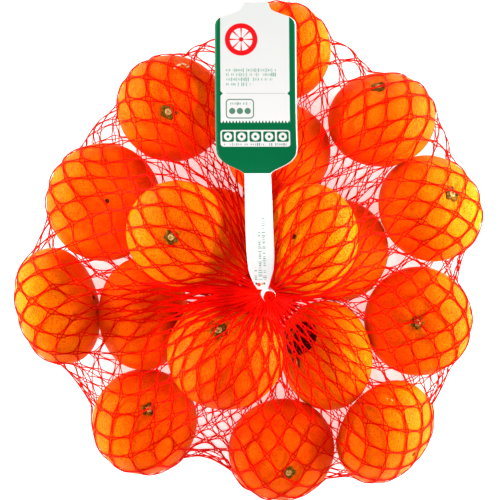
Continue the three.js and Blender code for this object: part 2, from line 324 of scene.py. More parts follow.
# %% [markdown]
# ## Turning one mandarin
#
# A fruit could be a sphere pressed flat, but its two ends matter most: the stem sits in a
# dimple with fine furrows running into it, and the blossom end is a shallow hollow. So
# half of the outline is drawn once as a chain of points and spun about the axis, which puts
# most of the faces at the two ends where the detail is. The unevenness goes mostly inwards,
# so the net that is drawn over the smooth form later always lies on top.

# %% The outline and the unevenness of a fruit
OUTLINE_STEPS = 50
SPIN_STEPS = 76
STEM_DIMPLE = (0.075, 0.17)       # depth as a share of the polar half, width of the radius
BLOSSOM_DIMPLE = (0.03, 0.10)
PLUMP = 1.006                     # the smooth form lies between the dents and the bulges
FURROW_DEPTH, FURROW_RING, FURROW_WIDTH = 0.016, 0.26, 0.17    # as shares of the radius
DENTS, DENT_DEPTH, DENT_FINENESS = 4, 0.0026, 1.7


def skin_height(share, stem_side):
    """Height of the peel at a share of the radius from the axis, as a share of the polar half."""
    depth, width = STEM_DIMPLE if stem_side else BLOSSOM_DIMPLE
    smooth = max(0.0, 1 - share ** FRUIT_POWER) ** (1 / FRUIT_POWER)
    return smooth - depth * exp(-(share / width) ** 2)


def outline_points():
    """The half outline from the blossom end below to the stem end above."""
    points = []
    for step in range(OUTLINE_STEPS + 1):
        angle = pi * (step / OUTLINE_STEPS - 0.5)
        share = abs(cos(angle)) ** (2 / FRUIT_POWER) if 0 < step < OUTLINE_STEPS else 0.0
        height = skin_height(share, angle > 0)
        points.append((share, 0.0, height if angle > 0 else -height))
    return points


def uneven(unit, rng):
    """Furrows round the stem, dents and flat sides on a unit fruit."""
    share = np.hypot(unit[:, 0], unit[:, 1])
    around = np.arctan2(unit[:, 1], unit[:, 0])
    furrows = rng.integers(7, 10)
    near_stem = np.exp(-((share - FURROW_RING) / FURROW_WIDTH) ** 2) * (unit[:, 2] > 0)
    sink = FURROW_DEPTH * near_stem * (0.5 + 0.5 * np.cos(furrows * around + rng.uniform(0, 6)))
    for _ in range(DENTS):
        way = rng.normal(size=3) * DENT_FINENESS
        sink += DENT_DEPTH * (1 + np.sin(unit @ way + rng.uniform(0, 6)))
    return unit * (PLUMP - sink)[:, None]


def turn_up(fruit):
    """Turns the stem end down where the blossom end looks up."""
    side = 1.0 if fruit.up == STEM else -1.0
    return np.diag([1.0, side, side])


def put_on_fruit(fruit, unit):
    """Points given in shares of a fruit's half sizes, as measured millimetres."""
    return (unit @ turn_up(fruit) * fruit.half) @ fruit.axes + fruit.centre


# %% Spin the mandarins
def finish_piece(bm, name, *materials):
    """A bmesh as a finished object at the origin."""
    mesh = bpy.data.meshes.new(name)
    bm.to_mesh(mesh)
    bm.free()
    mesh.polygons.foreach_set("use_smooth", [True] * len(mesh.polygons))
    for look in materials:
        mesh.materials.append(look)
    piece = bpy.data.objects.new(name, mesh)
    scene.collection.objects.link(piece)
    return piece


def move_points(bm, change):
    """Puts every vertex where change(array of points) says."""
    points = np.array([v.co for v in bm.verts])
    for vertex, place in zip(bm.verts, change(points)):
        vertex.co = place


def spun_outline(points, steps):
    """A closed skin: a chain of points spun about the Z axis."""
    bm = bmesh.new()
    chain = [bm.verts.new(p) for p in points]
    edges = [bm.edges.new(pair) for pair in zip(chain, chain[1:])]
    bmesh.ops.spin(bm, geom=chain + edges, axis=(0, 0, 1), cent=(0, 0, 0), angle=2 * pi,
                   steps=steps, use_merge=True, use_normal_flip=False, use_duplicate=False)
    bmesh.ops.remove_doubles(bm, verts=bm.verts, dist=1e-6)
    bmesh.ops.recalc_face_normals(bm, faces=bm.faces)
    return bm


def store(piece, name, values):
    """A number for every vertex, which a material can read by its name."""
    piece.data.attributes.new(name, "FLOAT", "POINT").data.foreach_set("value", values)


def make_mandarin(fruit, rng, material):
    bm = spun_outline(outline_points(), SPIN_STEPS)
    unit = np.array([v.co for v in bm.verts])
    shaped = uneven(unit, rng)
    move_points(bm, lambda points: to_frame(put_on_fruit(fruit, shaped)))
    bmesh.ops.recalc_face_normals(bm, faces=bm.faces)
    piece = finish_piece(bm, fruit.name, material)
    share = np.hypot(unit[:, 0], unit[:, 1])
    store(piece, "from_stem", np.where(unit[:, 2] > 0, share, 2.0))
    # each fruit's tone is partly its own colour and partly painted shade
    store(piece, "tone", np.full(len(unit), fruit.tone))
    return piece


# %% [markdown]
# ## Peel
#
# Mandarin peel is a deep, slightly waxy orange, dotted about every millimetre by oil glands.
# A Voronoi pattern scatters points at an even distance, which is just how the glands lie:
# close to a point the peel is a little darker and sinks in. Each fruit carries its own tone
# from deep to light orange, partly its own colour and partly painted shade, deeper on fruit
# that lie in shade, and two noises vary it across the fruit. All patterns read
# Object coordinates, so their scale is a real one.

# %% Peel: oil glands as a shared group
def gland_group():
    """Glands: a mask for their colour and a height for their dents."""
    group = bpy.data.node_groups.new("oil_glands", "ShaderNodeTree")
    for name, side in (("Glands per metre", "INPUT"), ("Mask", "OUTPUT"), ("Height", "OUTPUT")):
        group.interface.new_socket(name, in_out=side, socket_type="NodeSocketFloat")
    graph = Graph(group)
    where = graph.place()
    density = graph.node("NodeGroupInput").outputs[0]
    cells = graph.node("ShaderNodeTexVoronoi", {"Vector": where, "Scale": density, "Randomness": 0.85})
    mask = graph.ramp(cells.outputs["Distance"], 0.15, 0.45, 1.0, 0.0)
    fine = graph.noise(where, 2600.0)
    graph.node("NodeGroupOutput", {0: mask, 1: graph.less(graph.times(fine, 0.25), mask)})
    return group


GLANDS_PER_METRE = 850.0
GLAND_STRENGTH = 0.62
DEEP_ORANGE = (0.96, 0.085, 0.0003, 1.0)
LIGHT_ORANGE = (1.0, 0.235, 0.0006, 1.0)
GLAND_ORANGE = (0.74, 0.040, 0.0002, 1.0)
STEM_OCHRE = (0.80, 0.19, 0.004, 1.0)
WARM_GLOSS = (1.0, 0.45, 0.08, 1.0)
oil_glands = gland_group()


def peel_material():
    material, graph, shader = new_material("mandarin_peel")
    where = graph.place()
    # the orange: the tone of the fruit, which is partly painted shade, a slow drift over it and a mottle
    slow = graph.ramp(graph.noise(where, 28.0), 0.35, 0.65)
    mottle = graph.ramp(graph.noise(where, 170.0, 3.0), 0.3, 0.7)
    small = graph.math("MULTIPLY_ADD", slow, 0.35, graph.times(mottle, 0.30))
    mix = graph.math("MULTIPLY_ADD", graph.attribute("tone"), 0.75, graph.less(small, 0.18), clamp=True)
    orange = graph.blend(mix, DEEP_ORANGE, LIGHT_ORANGE)
    # an ochre ring at the stem, then the darker glands
    near_stem = graph.ramp(graph.attribute("from_stem"), 0.10, 0.30, 1.0, 0.0)
    ochre = graph.times(near_stem, graph.ramp(mottle, 0.0, 1.0, 0.2, 0.6))
    orange = graph.blend(ochre, orange, STEM_OCHRE)
    glands = graph.node("ShaderNodeGroup", {0: GLANDS_PER_METRE}, node_tree=oil_glands)
    orange = graph.blend(graph.times(glands.outputs["Mask"], GLAND_STRENGTH), orange, GLAND_ORANGE)
    graph.fill(shader, {
        "Base Color": orange, "Roughness": graph.ramp(mottle, 0.0, 1.0, 0.42, 0.54),
        "Normal": graph.bump(0.7, 0.0004, glands.outputs["Height"]),
        "Specular IOR Level": 0.10, "Specular Tint": WARM_GLOSS, "Subsurface Weight": 0.5,
        "Subsurface Radius": (1.0, 0.16, 0.05), "Subsurface Scale": 0.006})
    return material


peel = peel_material()
fruit_rng = np.random.default_rng(18)
mandarins = [make_mandarin(fruit, fruit_rng, peel) for fruit in fruits]
print("one mandarin has", len(mandarins[0].data.polygons), "faces")

# %% [markdown]
# ## Stem ends and blossom ends
#
# Where a mandarin was picked, a dry five-pointed star stays in the dimple, with the pale cut
# end of the stalk in its middle. The other end shows only a small brown scar. Both are spun
# from a short outline, and the star's points come from pulling the outer ring in and out.
# They follow the height of the peel below them, so that the tips lie down on the fruit.

# %% Stem stars
STAR_STEPS, SCAR_STEPS = 30, 14
STAR_POINTS = 0.28                # how far the points stand out
STALK_RADIUS = 1.9                # the star begins outside it
# distance from the axis and height over the peel, in millimetres
STAR_OUTLINE = [(0.0, 0.75), (0.6, 0.85), (1.3, 1.35), (1.75, 1.15), (1.85, 0.65), (2.5, 0.75),
                (3.3, 0.6), (4.0, 0.3), (4.1, -0.6)]
BLOSSOM_OUTLINE = [(0.0, 0.35), (0.5, 0.42), (0.85, 0.25), (1.3, 0.12), (1.45, -0.4)]


def join_into(whole, bm):
    """Adds the faces of one bmesh to another."""
    part = bpy.data.meshes.new("part")
    bm.to_mesh(part)
    bm.free()
    whole.from_mesh(part)
    bpy.data.meshes.remove(part)


def end_ring(outline, steps, stem_side, points_of_star, rng):
    """The stars or scars of all fruits in one bmesh."""
    whole = bmesh.new()
    for fruit in fruits:
        bm = spun_outline([(r, 0.0, z) for r, z in outline], steps)
        phase, size = rng.uniform(0, 2 * pi), rng.uniform(0.88, 1.12)

        def settle(points, fruit=fruit, phase=phase, size=size):
            radius = np.hypot(points[:, 0], points[:, 1])
            around = np.arctan2(points[:, 1], points[:, 0])
            outer = np.clip((radius - STALK_RADIUS) / 2.0, 0, 1)
            star = 1 + points_of_star * outer * (np.abs(np.cos(2.5 * around + phase)) ** 1.5 - 0.55)
            ragged = 1 + 0.05 * np.sin(7 * around + 3 * phase) * (radius > 0.9)
            reach = radius * star * ragged * size / fruit.half[1]
            skin = np.array([skin_height(share, stem_side) for share in reach])
            height = (skin + points[:, 2] / fruit.half[2]) * (1 if stem_side else -1)
            unit = np.stack([reach * np.cos(around), reach * np.sin(around), height], axis=1)
            return to_frame(put_on_fruit(fruit, unit))

        move_points(bm, settle)
        bmesh.ops.recalc_face_normals(bm, faces=bm.faces)
        join_into(whole, bm)
    return whole


def dry_material(name, dark, light, scale):
    """Dry plant matter: two browns mixed by a streaky noise, quite rough."""
    material, graph, shader = new_material(name)
    streak = graph.noise(graph.place(), scale, 4.0, 0.6)
    graph.fill(shader, {
        "Base Color": graph.blend(graph.ramp(streak, 0.35, 0.65), dark, light),
        "Roughness": graph.ramp(streak, 0.2, 0.8, 0.6, 0.85),
        "Normal": graph.bump(0.6, 0.0003, streak), "Specular IOR Level": 0.08})
    return material


star_look = dry_material("dry_calyx", colour(58, 34, 2), colour(150, 106, 30), 900.0)
stalk_look = dry_material("cut_stalk", colour(150, 84, 30), colour(232, 200, 130), 1200.0)
scar_look = dry_material("blossom_scar", colour(60, 26, 4), colour(126, 62, 10), 1500.0)

star_rng = np.random.default_rng(5)
star_mesh = end_ring(STAR_OUTLINE, STAR_STEPS, True, STAR_POINTS, star_rng)
stars = finish_piece(star_mesh, "stem_stars", star_look, stalk_look)
centres = np.array([f.center for f in stars.data.polygons]).reshape(len(fruits), -1, 3)
hubs = centres.mean(axis=1, keepdims=True)
on_stalk = (np.linalg.norm(centres - hubs, axis=2) < STALK_RADIUS * MM).ravel()
stars.data.polygons.foreach_set("material_index", on_stalk.astype(int))
scar_mesh = end_ring(BLOSSOM_OUTLINE, SCAR_STEPS, False, 0.0, star_rng)
scars = finish_piece(scar_mesh, "blossom_scars", scar_look)
print("stem stars:", len(stars.data.polygons), "faces, blossom scars:", len(scars.data.polygons))

# %% [markdown]
# ## Marks on the peel
#
# Three fruits carry marks that show through the net: pale marks on a healed scar, which are
# partly painted highlights where its crinkled peel catches the light, a few white specks,
# and a dark oval sticker. Each is a thin patch. A disc or a grid is laid flat over
# the fruit and then lowered straight down onto the peel, which keeps its outline as the lens
# sees it and still lets it curve with the fruit.

# %% Patches that lie on the peel
PATCH_LIFT = 0.10                 # how far a patch stands off the smooth form, in millimetres


def peel_top(fruit, x, y):
    """Height of the upper side of a fruit over the measured x and y, by halving."""
    inside, outside = fruit.centre[2], fruit.centre[2] + 1.2 * max(fruit.half)
    for _ in range(30):
        z = (inside + outside) / 2
        u, v, w = fruit.axes @ (np.array([x, y, z]) - fruit.centre) / (fruit.half + PATCH_LIFT)
        level = hypot(u, v) ** FRUIT_POWER + abs(w) ** FRUIT_POWER
        inside, outside = (z, outside) if level < 1 else (inside, z)
    return inside


def add_patch(bm, fruit, px, py, length, width, turn, rng=None, segments=14):
    """A small oval patch over a picture pixel, length and width in millimetres."""
    x, y = table_point(px, py, fruit.centre[2] + 0.7 * fruit.half[2])
    flat = bmesh.new()
    bmesh.ops.create_circle(flat, cap_ends=True, cap_tris=True, radius=1.0, segments=segments)
    bmesh.ops.subdivide_edges(flat, edges=flat.edges, cuts=1, use_grid_fill=True)
    turn = radians(turn)

    def settle(points):
        wobble = 1.0
        if rng is not None:
            around = np.arctan2(points[:, 1], points[:, 0])
            wobble = 1 + 0.22 * np.sin(2 * around + rng.uniform(0, 6))
            wobble = wobble + 0.15 * np.sin(5 * around + rng.uniform(0, 6))
        u, v = points[:, 0] * length / 2 * wobble, points[:, 1] * width / 2 * wobble
        xs, ys = x + u * cos(turn) - v * sin(turn), y + u * sin(turn) + v * cos(turn)
        return to_frame([(a, b, peel_top(fruit, a, b)) for a, b in zip(xs, ys)])

    move_points(flat, settle)
    join_into(bm, flat)


# number of the fruit, pixel, length and width in mm, and turn in degrees, of each pale mark: the first five
# are a scar, partly painted highlight, the last three white specks
SCAR_HIGHLIGHT_SPECKS = [
    (0, 175.5, 68.0, 2.6, 0.9, 40), (0, 179.0, 65.0, 3.4, 1.0, 25), (0, 184.0, 64.0, 2.6, 1.2, -20),
    (0, 188.5, 66.5, 2.8, 1.0, 10), (0, 191.5, 62.5, 1.6, 0.8, 60),
    (15, 386.5, 397.5, 0.8, 0.5, 20), (15, 391.0, 399.0, 1.0, 0.6, -30), (15, 394.5, 396.8, 0.7, 0.5, 0),
]
mark_rng = np.random.default_rng(7)
bm = bmesh.new()
for index, *pale_mark in SCAR_HIGHLIGHT_SPECKS:
    add_patch(bm, fruits[index], *pale_mark, mark_rng)
# pale patches: a scar that is partly painted highlight, and white specks
scar_highlight_speck_look = dry_material("scar_highlight_and_speck", colour(255, 190, 120), colour(255, 236, 205), 700.0)
scar_highlight_specks = finish_piece(bm, "peel_scars_highlights_specks", scar_highlight_speck_look)

STICKER_FRUIT = 9
STICKER = (301.0, 338.5, 21.5, 15.0, 52)    # pixel, length, width, turn


def sticker_material():
    """A plain dark sticker with a few red specks."""
    material, graph, shader = new_material("fruit_sticker")
    speck = graph.ramp(graph.noise(graph.place(), 420.0), 0.56, 0.60)
    graph.fill(shader, {
        "Base Color": graph.blend(speck, colour(40, 2, 10), colour(190, 14, 8)),
        "Roughness": graph.ramp(speck, 0.0, 1.0, 0.45, 0.55)})
    return material


bm = bmesh.new()
add_patch(bm, fruits[STICKER_FRUIT], *STICKER, segments=32)
sticker = finish_piece(bm, "fruit_sticker", sticker_material())
print(len(SCAR_HIGHLIGHT_SPECKS), "scratches and a sticker")

# %% [markdown]
# ## The course of the label
#
# The label lies on top of the net, so its shape has to be known before the net is pulled
# tight beneath it. Two short lists describe it: how wide it is and how high it lies at a
# distance from the clip. A smooth curve is laid through them, as a spline ruler would do.

# %% Label: outline and course
# distance from the clip and half the width, in millimetres
LABEL_OUTLINE = [
    (-3.6, 2.6), (-2.0, 3.6), (0, 4.5), (3, 5.6), (7, 6.8), (14, 7.5), (26, 7.6), (60, 7.4),
    (61.4, 8.2), (62.6, 10.4), (63.8, 12.8), (65.2, 15.8), (67.2, 19.0), (69.4, 21.1), (71.6, 22.4),
    (75.0, 23), (145.4, 23),
    (147.8, 22.2), (149.6, 20.0), (151.3, 15.4), (152.5, 11.6), (153.8, 9.2), (155.2, 8.0),
    (157.6, 7.3), (158.2, 7.1),
]
# distance from the clip and height of the underside
LABEL_COURSE = [
    (-3.6, 79.4), (0, 80.6), (4, 82.6), (8, 84.4), (13, 86.2), (19, 87.0), (26, 86.7), (32, 85.5),
    (38, 83.1), (44, 79.2), (50, 73.4), (56, 67.0), (62, 61.2), (68, 57.0), (74, 54.7), (82, 52.8),
    (94, 50.6), (107, 48.8), (120, 47.5), (134, 46.6), (148, 45.4), (158.2, 43.9),
]
# distance from the clip and x of the middle line: the strap swings a little to the left
LABEL_MIDDLE = [(-3.6, 6.9), (0, 6.4), (13, 5.9), (24, 5.4), (60, 4.3), (83, 3.6), (120, 3.2),
                (158.2, 3.0)]
LABEL_TIP = -3.6                  # the strap reaches a little way into the clip
LABEL_LENGTH = 158.2
LABEL_START_Y = -18.0
LABEL_THICKNESS = 0.9


def rounded(stations, where):
    """A smooth curve through stations (distance, value)."""
    along, value = np.array(stations, float).T
    slope = np.gradient(value, along)
    k = np.clip(np.searchsorted(along, where, side="right") - 1, 0, len(along) - 2)
    gap = along[k + 1] - along[k]
    t = (where - along[k]) / gap
    return ((2 * t ** 3 - 3 * t ** 2 + 1) * value[k] + (t ** 3 - 2 * t ** 2 + t) * gap * slope[k]
            + (3 * t ** 2 - 2 * t ** 3) * value[k + 1] + (t ** 3 - t ** 2) * gap * slope[k + 1])


def label_half_width(along):
    return np.interp(along, *np.array(LABEL_OUTLINE, float).T)


def label_points(along, across, height):
    """Measured points of a leaf at a height over the underside of the label."""
    x = rounded(LABEL_MIDDLE, along) + across
    y = LABEL_START_Y + along
    z = rounded(LABEL_COURSE, along) + height
    return np.stack([x, y, z], axis=-1)
label_run = np.linspace(LABEL_TIP, LABEL_LENGTH, 200)
label_line = label_points(label_run, 0.0, 0.0)
print("label runs for mm:", round(float(np.linalg.norm(np.diff(label_line, axis=0), axis=1).sum())))

# %% [markdown]
# ## The net
#
# The bag is one knitted tube of red cord: fifty diamond cells round, twenty-eight half rows
# from clip to clip. Drawing each strand by hand over eighteen fruit is hopeless, and cloth
# simulation wants a closed sheet. A small simulation of its own works well: the tube starts
# as a wide bag round the heap, every strand is too long at first and is shortened bit by
# bit, and after each small step the points that ended up inside a fruit or the floor are
# pushed out again. What is left is a net pulled tight over the fruit, straight across the
# gaps, just as the real one lies.

# %% Net: rows of knots and the strands between them
CELLS_ROUND = 50
HALF_ROWS = 28
STRAND = 12.6                     # longest length from knot to knot, in millimetres
UNEVEN_STRANDS = 0.06             # spread of the strands' lengths, as a share
CORD_REACH = 0.45                 # from the peel to the middle of the cord
TOP_KNOTS = GATHER_TOP + 6.6 * TOP_AXIS
BASE_KNOTS = GATHER_BASE - np.array([0.0, 0.0, 1.5])
KNOT_RING = 1.8                   # radius of the first and last row of knots
# share of the way from clip to clip, with the radius and the height of the loose bag there
BAG_SHARE = [0, 0.12, 0.30, 0.50, 0.58, 0.64, 0.80, 1.0]
BAG_RADIUS = [2, 34, 92, 142, 147, 140, 80, 2]
BAG_HEIGHT = [77, 92, 92, 62, 28, 2, 1, 10]
BAG_STRETCH = 1.06                # the bag is longer than it is wide

fruit_centre = np.stack([f.centre for f in fruits])
fruit_axes = np.stack([f.axes for f in fruits])
fruit_half = np.stack([f.half for f in fruits])


def unit_vectors(vectors):
    return vectors / np.maximum(np.linalg.norm(vectors, axis=-1, keepdims=True), 1e-9)


def net_chains(mids):
    """Point numbers of every strand: [family, row, cell, knot + mids + knot]."""
    knots = np.arange((HALF_ROWS + 1) * CELLS_ROUND).reshape(HALF_ROWS + 1, CELLS_ROUND)
    starts, ends = np.zeros((2, 2, HALF_ROWS, CELLS_ROUND), int)
    for row in range(HALF_ROWS):
        for family in range(2):
            starts[family, row] = knots[row]
            ends[family, row] = np.roll(knots[row + 1], family - row % 2)
    between = knots.size + np.arange(starts.size * mids).reshape(*starts.shape, mids)
    return knots, np.concatenate([starts[..., None], between, ends[..., None]], axis=-1)


def cell_angles(row):
    """Where the knots of a row stand round the bag: every other row is half a cell further."""
    return 2 * pi * (np.arange(CELLS_ROUND) + 0.5 * (row % 2)) / CELLS_ROUND


def knot_ring(middle, row):
    around = cell_angles(row)
    return middle + KNOT_RING * np.stack([np.cos(around), np.sin(around), 0 * around], axis=-1)


def loose_bag():
    """The knots of the wide bag that the net starts from, as [row, cell, xyz]."""
    row = np.arange(HALF_ROWS + 1)[:, None]
    share, around = row / HALF_ROWS, cell_angles(row)
    radius, height = (np.interp(share, BAG_SHARE, values) for values in (BAG_RADIUS, BAG_HEIGHT))
    x = np.interp(share, [0, 0.3, 0.6, 1], [TOP_KNOTS[0], 2, 0, BASE_KNOTS[0]])
    y = np.interp(share, [0, 0.3, 0.6, 1], [TOP_KNOTS[1], -6, -1, BASE_KNOTS[1]])
    bag = np.stack([x + radius * np.cos(around), y + BAG_STRETCH * radius * np.sin(around),
                    height + 0 * around], axis=-1)
    bag[0], bag[-1] = knot_ring(TOP_KNOTS, 0), knot_ring(BASE_KNOTS, HALF_ROWS)
    return bag


# %% Net: fruit, floor and label push it out
NEAR_COUNT = 4                    # how many fruit a point is tried against
LARGEST_PUSH = 4.0
HOLLOW_RADIUS, HOLLOW_HEIGHT = 24.0, 9.0    # the base gathers in a low hollow


def nearest_fruit(points):
    gap = ((points[:, None, :] - fruit_centre[None]) ** 2).sum(-1)
    return np.argpartition(gap, NEAR_COUNT, axis=1)[:, :NEAR_COUNT]


def seen_from_fruit(points, which, reach):
    """Points in the axes of a fruit each, its half sizes, and the level of its form, 1 on the peel."""
    half = fruit_half[which] + reach
    local = np.einsum("nij,nj->ni", fruit_axes[which], points - fruit_centre[which])
    share = local / half
    flat = share[:, 0] ** 2 + share[:, 1] ** 2
    return local, half, share, flat, flat ** (FRUIT_POWER / 2) + np.abs(share[:, 2]) ** FRUIT_POWER


def push_out(points, near, reach):
    """Moves points that are inside a fruit out along the slope of its form. Returns who moved."""
    moved = np.zeros(len(points), bool)
    for which in near.T:
        local, half, share, flat, level = seen_from_fruit(points, which, reach)
        hit = level < 1
        if not hit.any():
            continue
        rim = np.maximum(flat[hit], 1e-6) ** (FRUIT_POWER / 2 - 1)
        slope = FRUIT_POWER / half[hit] * np.stack([
            rim * share[hit, 0], rim * share[hit, 1],
            np.abs(share[hit, 2]) ** (FRUIT_POWER - 1) * np.sign(share[hit, 2])], axis=-1)
        steep = np.maximum((slope ** 2).sum(1), 1e-12)
        step = np.minimum((1 - level[hit]) / steep, LARGEST_PUSH / np.sqrt(steep))
        out = local[hit] + slope * step[:, None]
        points[hit] = fruit_centre[which[hit]] + np.einsum("nji,nj->ni", fruit_axes[which][hit], out)
        moved |= hit
    return moved


def lift_off_floor(points, gap=0.3):
    """Keeps points over the floor, and over the low hollow round the lower clip."""
    share = np.hypot(points[:, 0] - BASE_KNOTS[0], points[:, 1] - BASE_KNOTS[1]) / HOLLOW_RADIUS
    hollow = HOLLOW_HEIGHT * (1 - np.minimum(share, 1) ** 2) ** 1.5
    points[:, 2] = np.maximum(points[:, 2], gap + hollow)


def keep_under_label(points, gap=0.75):
    """Keeps points that are under the label below it."""
    along = points[:, 1] - LABEL_START_Y
    beside = np.abs(points[:, 0] - rounded(LABEL_MIDDLE, along)) - label_half_width(along)
    under = (along > 0) & (along < LABEL_LENGTH) & (beside < 0.5)
    ceiling = rounded(LABEL_COURSE, along) - gap
    points[under, 2] = np.minimum(points[under, 2], ceiling[under])


# %% Net: what draws it in and out at the rim
CLING = 0.12                      # how strongly a slack strand beside an outer fruit is drawn to it
CLING_REACH = 2.5                 # within this distance
OUTER_RING = 75.0                 # the outer fruit lie further than this from the middle
# x, y of a gap at the rim and how far each round moves the net there, outwards or (-) inwards
TUCKS = [(58, 110, 0.048), (109, 68, 0.045), (-88, 70, 0.018), (-26, -125, -0.035), (123, -14, -0.012),
         (-34, 115, 0.045), (108, -77, 0.008), (-100, -81, -0.008), (-119, 10, 0.01)]
TUCK_REACH = 16.0


def cling(points, near):
    """Draws points that hang low on the outer side of an outer fruit towards it."""
    for which in near.T:
        centre = fruit_centre[which]
        ring = np.hypot(centre[:, 0], centre[:, 1])
        outside = (points[:, :2] * centre[:, :2]).sum(1) > ring ** 2
        local, _, _, _, level = seen_from_fruit(points, which, CORD_REACH)
        level = level ** (1 / FRUIT_POWER)
        off = (level - 1) * np.linalg.norm(local, axis=1) / level
        close = outside & (ring > OUTER_RING) & (off > 0) & (off < CLING_REACH)
        close &= points[:, 2] < centre[:, 2]
        inwards = unit_vectors(centre[close] - points[close])
        points[close] += CLING * off[close, None] * inwards


def tuck(points):
    """Draws the net in or out where the bag was pulled at."""
    for x, y, move in TUCKS:
        close = np.exp(-((points[:, 0] - x) ** 2 + (points[:, 1] - y) ** 2) / TUCK_REACH ** 2)
        points[:, :2] += np.outer(move * close, [x, y]) / hypot(x, y)


# %% Net: pull it tight
GRIP = 0.5                        # how well a strand sticks to the peel it lies on
LOOK_AGAIN = 10                   # rounds between two searches for the nearest fruit
SHRINK_SHARE = 0.6                # the strands have their last length after this share of the rounds
PASSES = 3                        # how often each round goes over all strands
OVERDO = 1.5                      # a pass corrects a length by more than the error, to settle sooner
SLACK, PUSH_BACK = 0.3, 0.1       # a strand that is shorter by more than this share pushes back a little
SINK_OVER, ON_FLOOR = 2.0, 0.31   # heights


def both_ways(first, second, values, count):
    """Sums a value of every link at its two ends."""
    return [np.bincount(first, values[0][:, axis], count) + np.bincount(second, values[1][:, axis], count)
            for axis in range(3)]


def pull_tight(points, chain, pinned, home, rest, rounds, weight, ease, spare):
    """Rounds of: sink, shorten what is too long, even out, push out of the fruit."""
    count = len(points)
    first, second = chain[..., :-1].ravel(), chain[..., 1:].ravel()
    ends = np.bincount(first, minlength=count) + np.bincount(second, minlength=count)
    for turn in range(rounds):
        if turn % LOOK_AGAIN == 0:
            near = nearest_fruit(points)
        shrunk = min(1, turn / (SHRINK_SHARE * rounds))
        longest = rest * (spare[0] + (spare[1] - spare[0]) * shrunk)
        before = points.copy()
        points[:, 2] -= np.where(points[:, 2] > SINK_OVER, weight, 0)
        tuck(points)
        for _ in range(PASSES):
            gap = points[second] - points[first]
            length = np.sqrt((gap * gap).sum(1)) + 1e-9
            over = length - longest
            pull = np.where(over > 0, over, PUSH_BACK * np.minimum(over + SLACK * longest, 0))
            pull = gap * (OVERDO * pull / length)[:, None]
            for axis, move in enumerate(both_ways(first, second, (pull, -pull), count)):
                points[:, axis] += move / ends
            points[pinned] = home
        around = np.stack(both_ways(first, second, (points[second], points[first]), count), axis=-1)
        points += ease * (around / ends[:, None] - points)
        if spare[0] == spare[1]:
            cling(points, near)
        held = push_out(points, near, CORD_REACH) | (points[:, 2] < ON_FLOOR)
        points[held] = GRIP * before[held] + (1 - GRIP) * points[held]
        keep_under_label(points)
        lift_off_floor(points)
        points[pinned] = home
    return points


def first_and_last(knots, count):
    """Marks the points that the two clips hold."""
    pinned = np.zeros(count, bool)
    pinned[knots[0]] = pinned[knots[-1]] = True
    return pinned


def drape_net():
    """The knots and the chains of the finished net, in measured millimetres."""
    rng = np.random.default_rng(4)
    bag = loose_bag()
    knots, chain = net_chains(1)
    points = np.zeros((chain.max() + 1, 3))
    points[:knots.size] = bag.reshape(-1, 3)
    points[chain[..., 1]] = (points[chain[..., 0]] + points[chain[..., 2]]) / 2
    pinned = first_and_last(knots, len(points))
    home = points[pinned].copy()
    length = STRAND * (1 + rng.normal(0, UNEVEN_STRANDS, (2, HALF_ROWS, CELLS_ROUND)))
    rest = np.repeat(length[..., None] / 2, 2, axis=-1).ravel()
    points = pull_tight(points, chain, pinned, home, rest,
                        rounds=700, weight=0.04, ease=0.05, spare=(1.25, 0.97))

    # the same net again, with three points instead of one between its knots
    knots, fine = net_chains(3)
    finer = np.zeros((fine.max() + 1, 3))
    finer[:knots.size] = points[:knots.size]
    finer[fine[..., 2]] = points[chain[..., 1]]
    for left, mid, right in ((0, 1, 2), (2, 3, 4)):
        finer[fine[..., mid]] = (finer[fine[..., left]] + finer[fine[..., right]]) / 2
    pinned = first_and_last(knots, len(finer))
    rest = np.repeat(length[..., None] / 4, 4, axis=-1).ravel()
    finer = pull_tight(finer, fine, pinned, home, rest,
                       rounds=260, weight=0.02, ease=0.03, spare=(1.0, 1.0))
    return finer, knots, fine


net_points, net_knots, net_chain = drape_net()
net_span = np.linalg.norm(net_points[net_chain[..., -1]] - net_points[net_chain[..., 0]], axis=-1)
print("net:", net_knots.size, "knots, middle strand", round(float(np.median(net_span)), 1), "mm")

# %% [markdown]
# ## From strands to cord
#
# Seen close up, each strand of the net is a pair of thin filaments. The pair runs side by
# side halfway between two knots and spreads before each crossing, so that two crossing
# pairs leave a small open window between them. Each filament becomes one spline of a curve
# object with a round bevel, which Blender can turn into a mesh with closed ends.

# %% Cord: smooth lines through the strands
STEPS_PER_STRAND = 8
FILAMENT = 0.30                   # radius of a filament
SPREAD = 1.25                     # half the width of the window at a knot
TOUCH = 0.27                      # half the distance of the pair halfway between knots
NARROWEST = 0.17                  # the spread is at most this share of a cell's width


def strand_lines():
    """Every strand line from clip to clip as point numbers, [family, line, point]."""
    lines = np.zeros((2, CELLS_ROUND, 4 * HALF_ROWS + 1), int)
    for family in range(2):
        cell = np.arange(CELLS_ROUND)
        for row in range(HALF_ROWS):
            lines[family, :, 4 * row:4 * row + 5] = net_chain[family, row, cell]
            cell = (cell + row % 2 - family) % CELLS_ROUND
    return lines


def smooth_line(points, steps):
    """Catmull-Rom through points [line, point, xyz], with steps for each interval."""
    before, after = 2 * points[:, :1] - points[:, 1:2], 2 * points[:, -1:] - points[:, -2:-1]
    padded = np.concatenate([before, points, after], axis=1)
    p0, p1, p2, p3 = (padded[:, k:k + points.shape[1] - 1, None] for k in range(4))
    t = (np.arange(steps) / steps)[None, None, :, None]
    curve = 0.5 * (2 * p1 + (p2 - p0) * t + (2 * p0 - 5 * p1 + 4 * p2 - p3) * t ** 2
                   + (3 * p1 - p0 - 3 * p2 + p3) * t ** 3)
    return np.concatenate([curve.reshape(len(points), -1, 3), points[:, -1:]], axis=1)


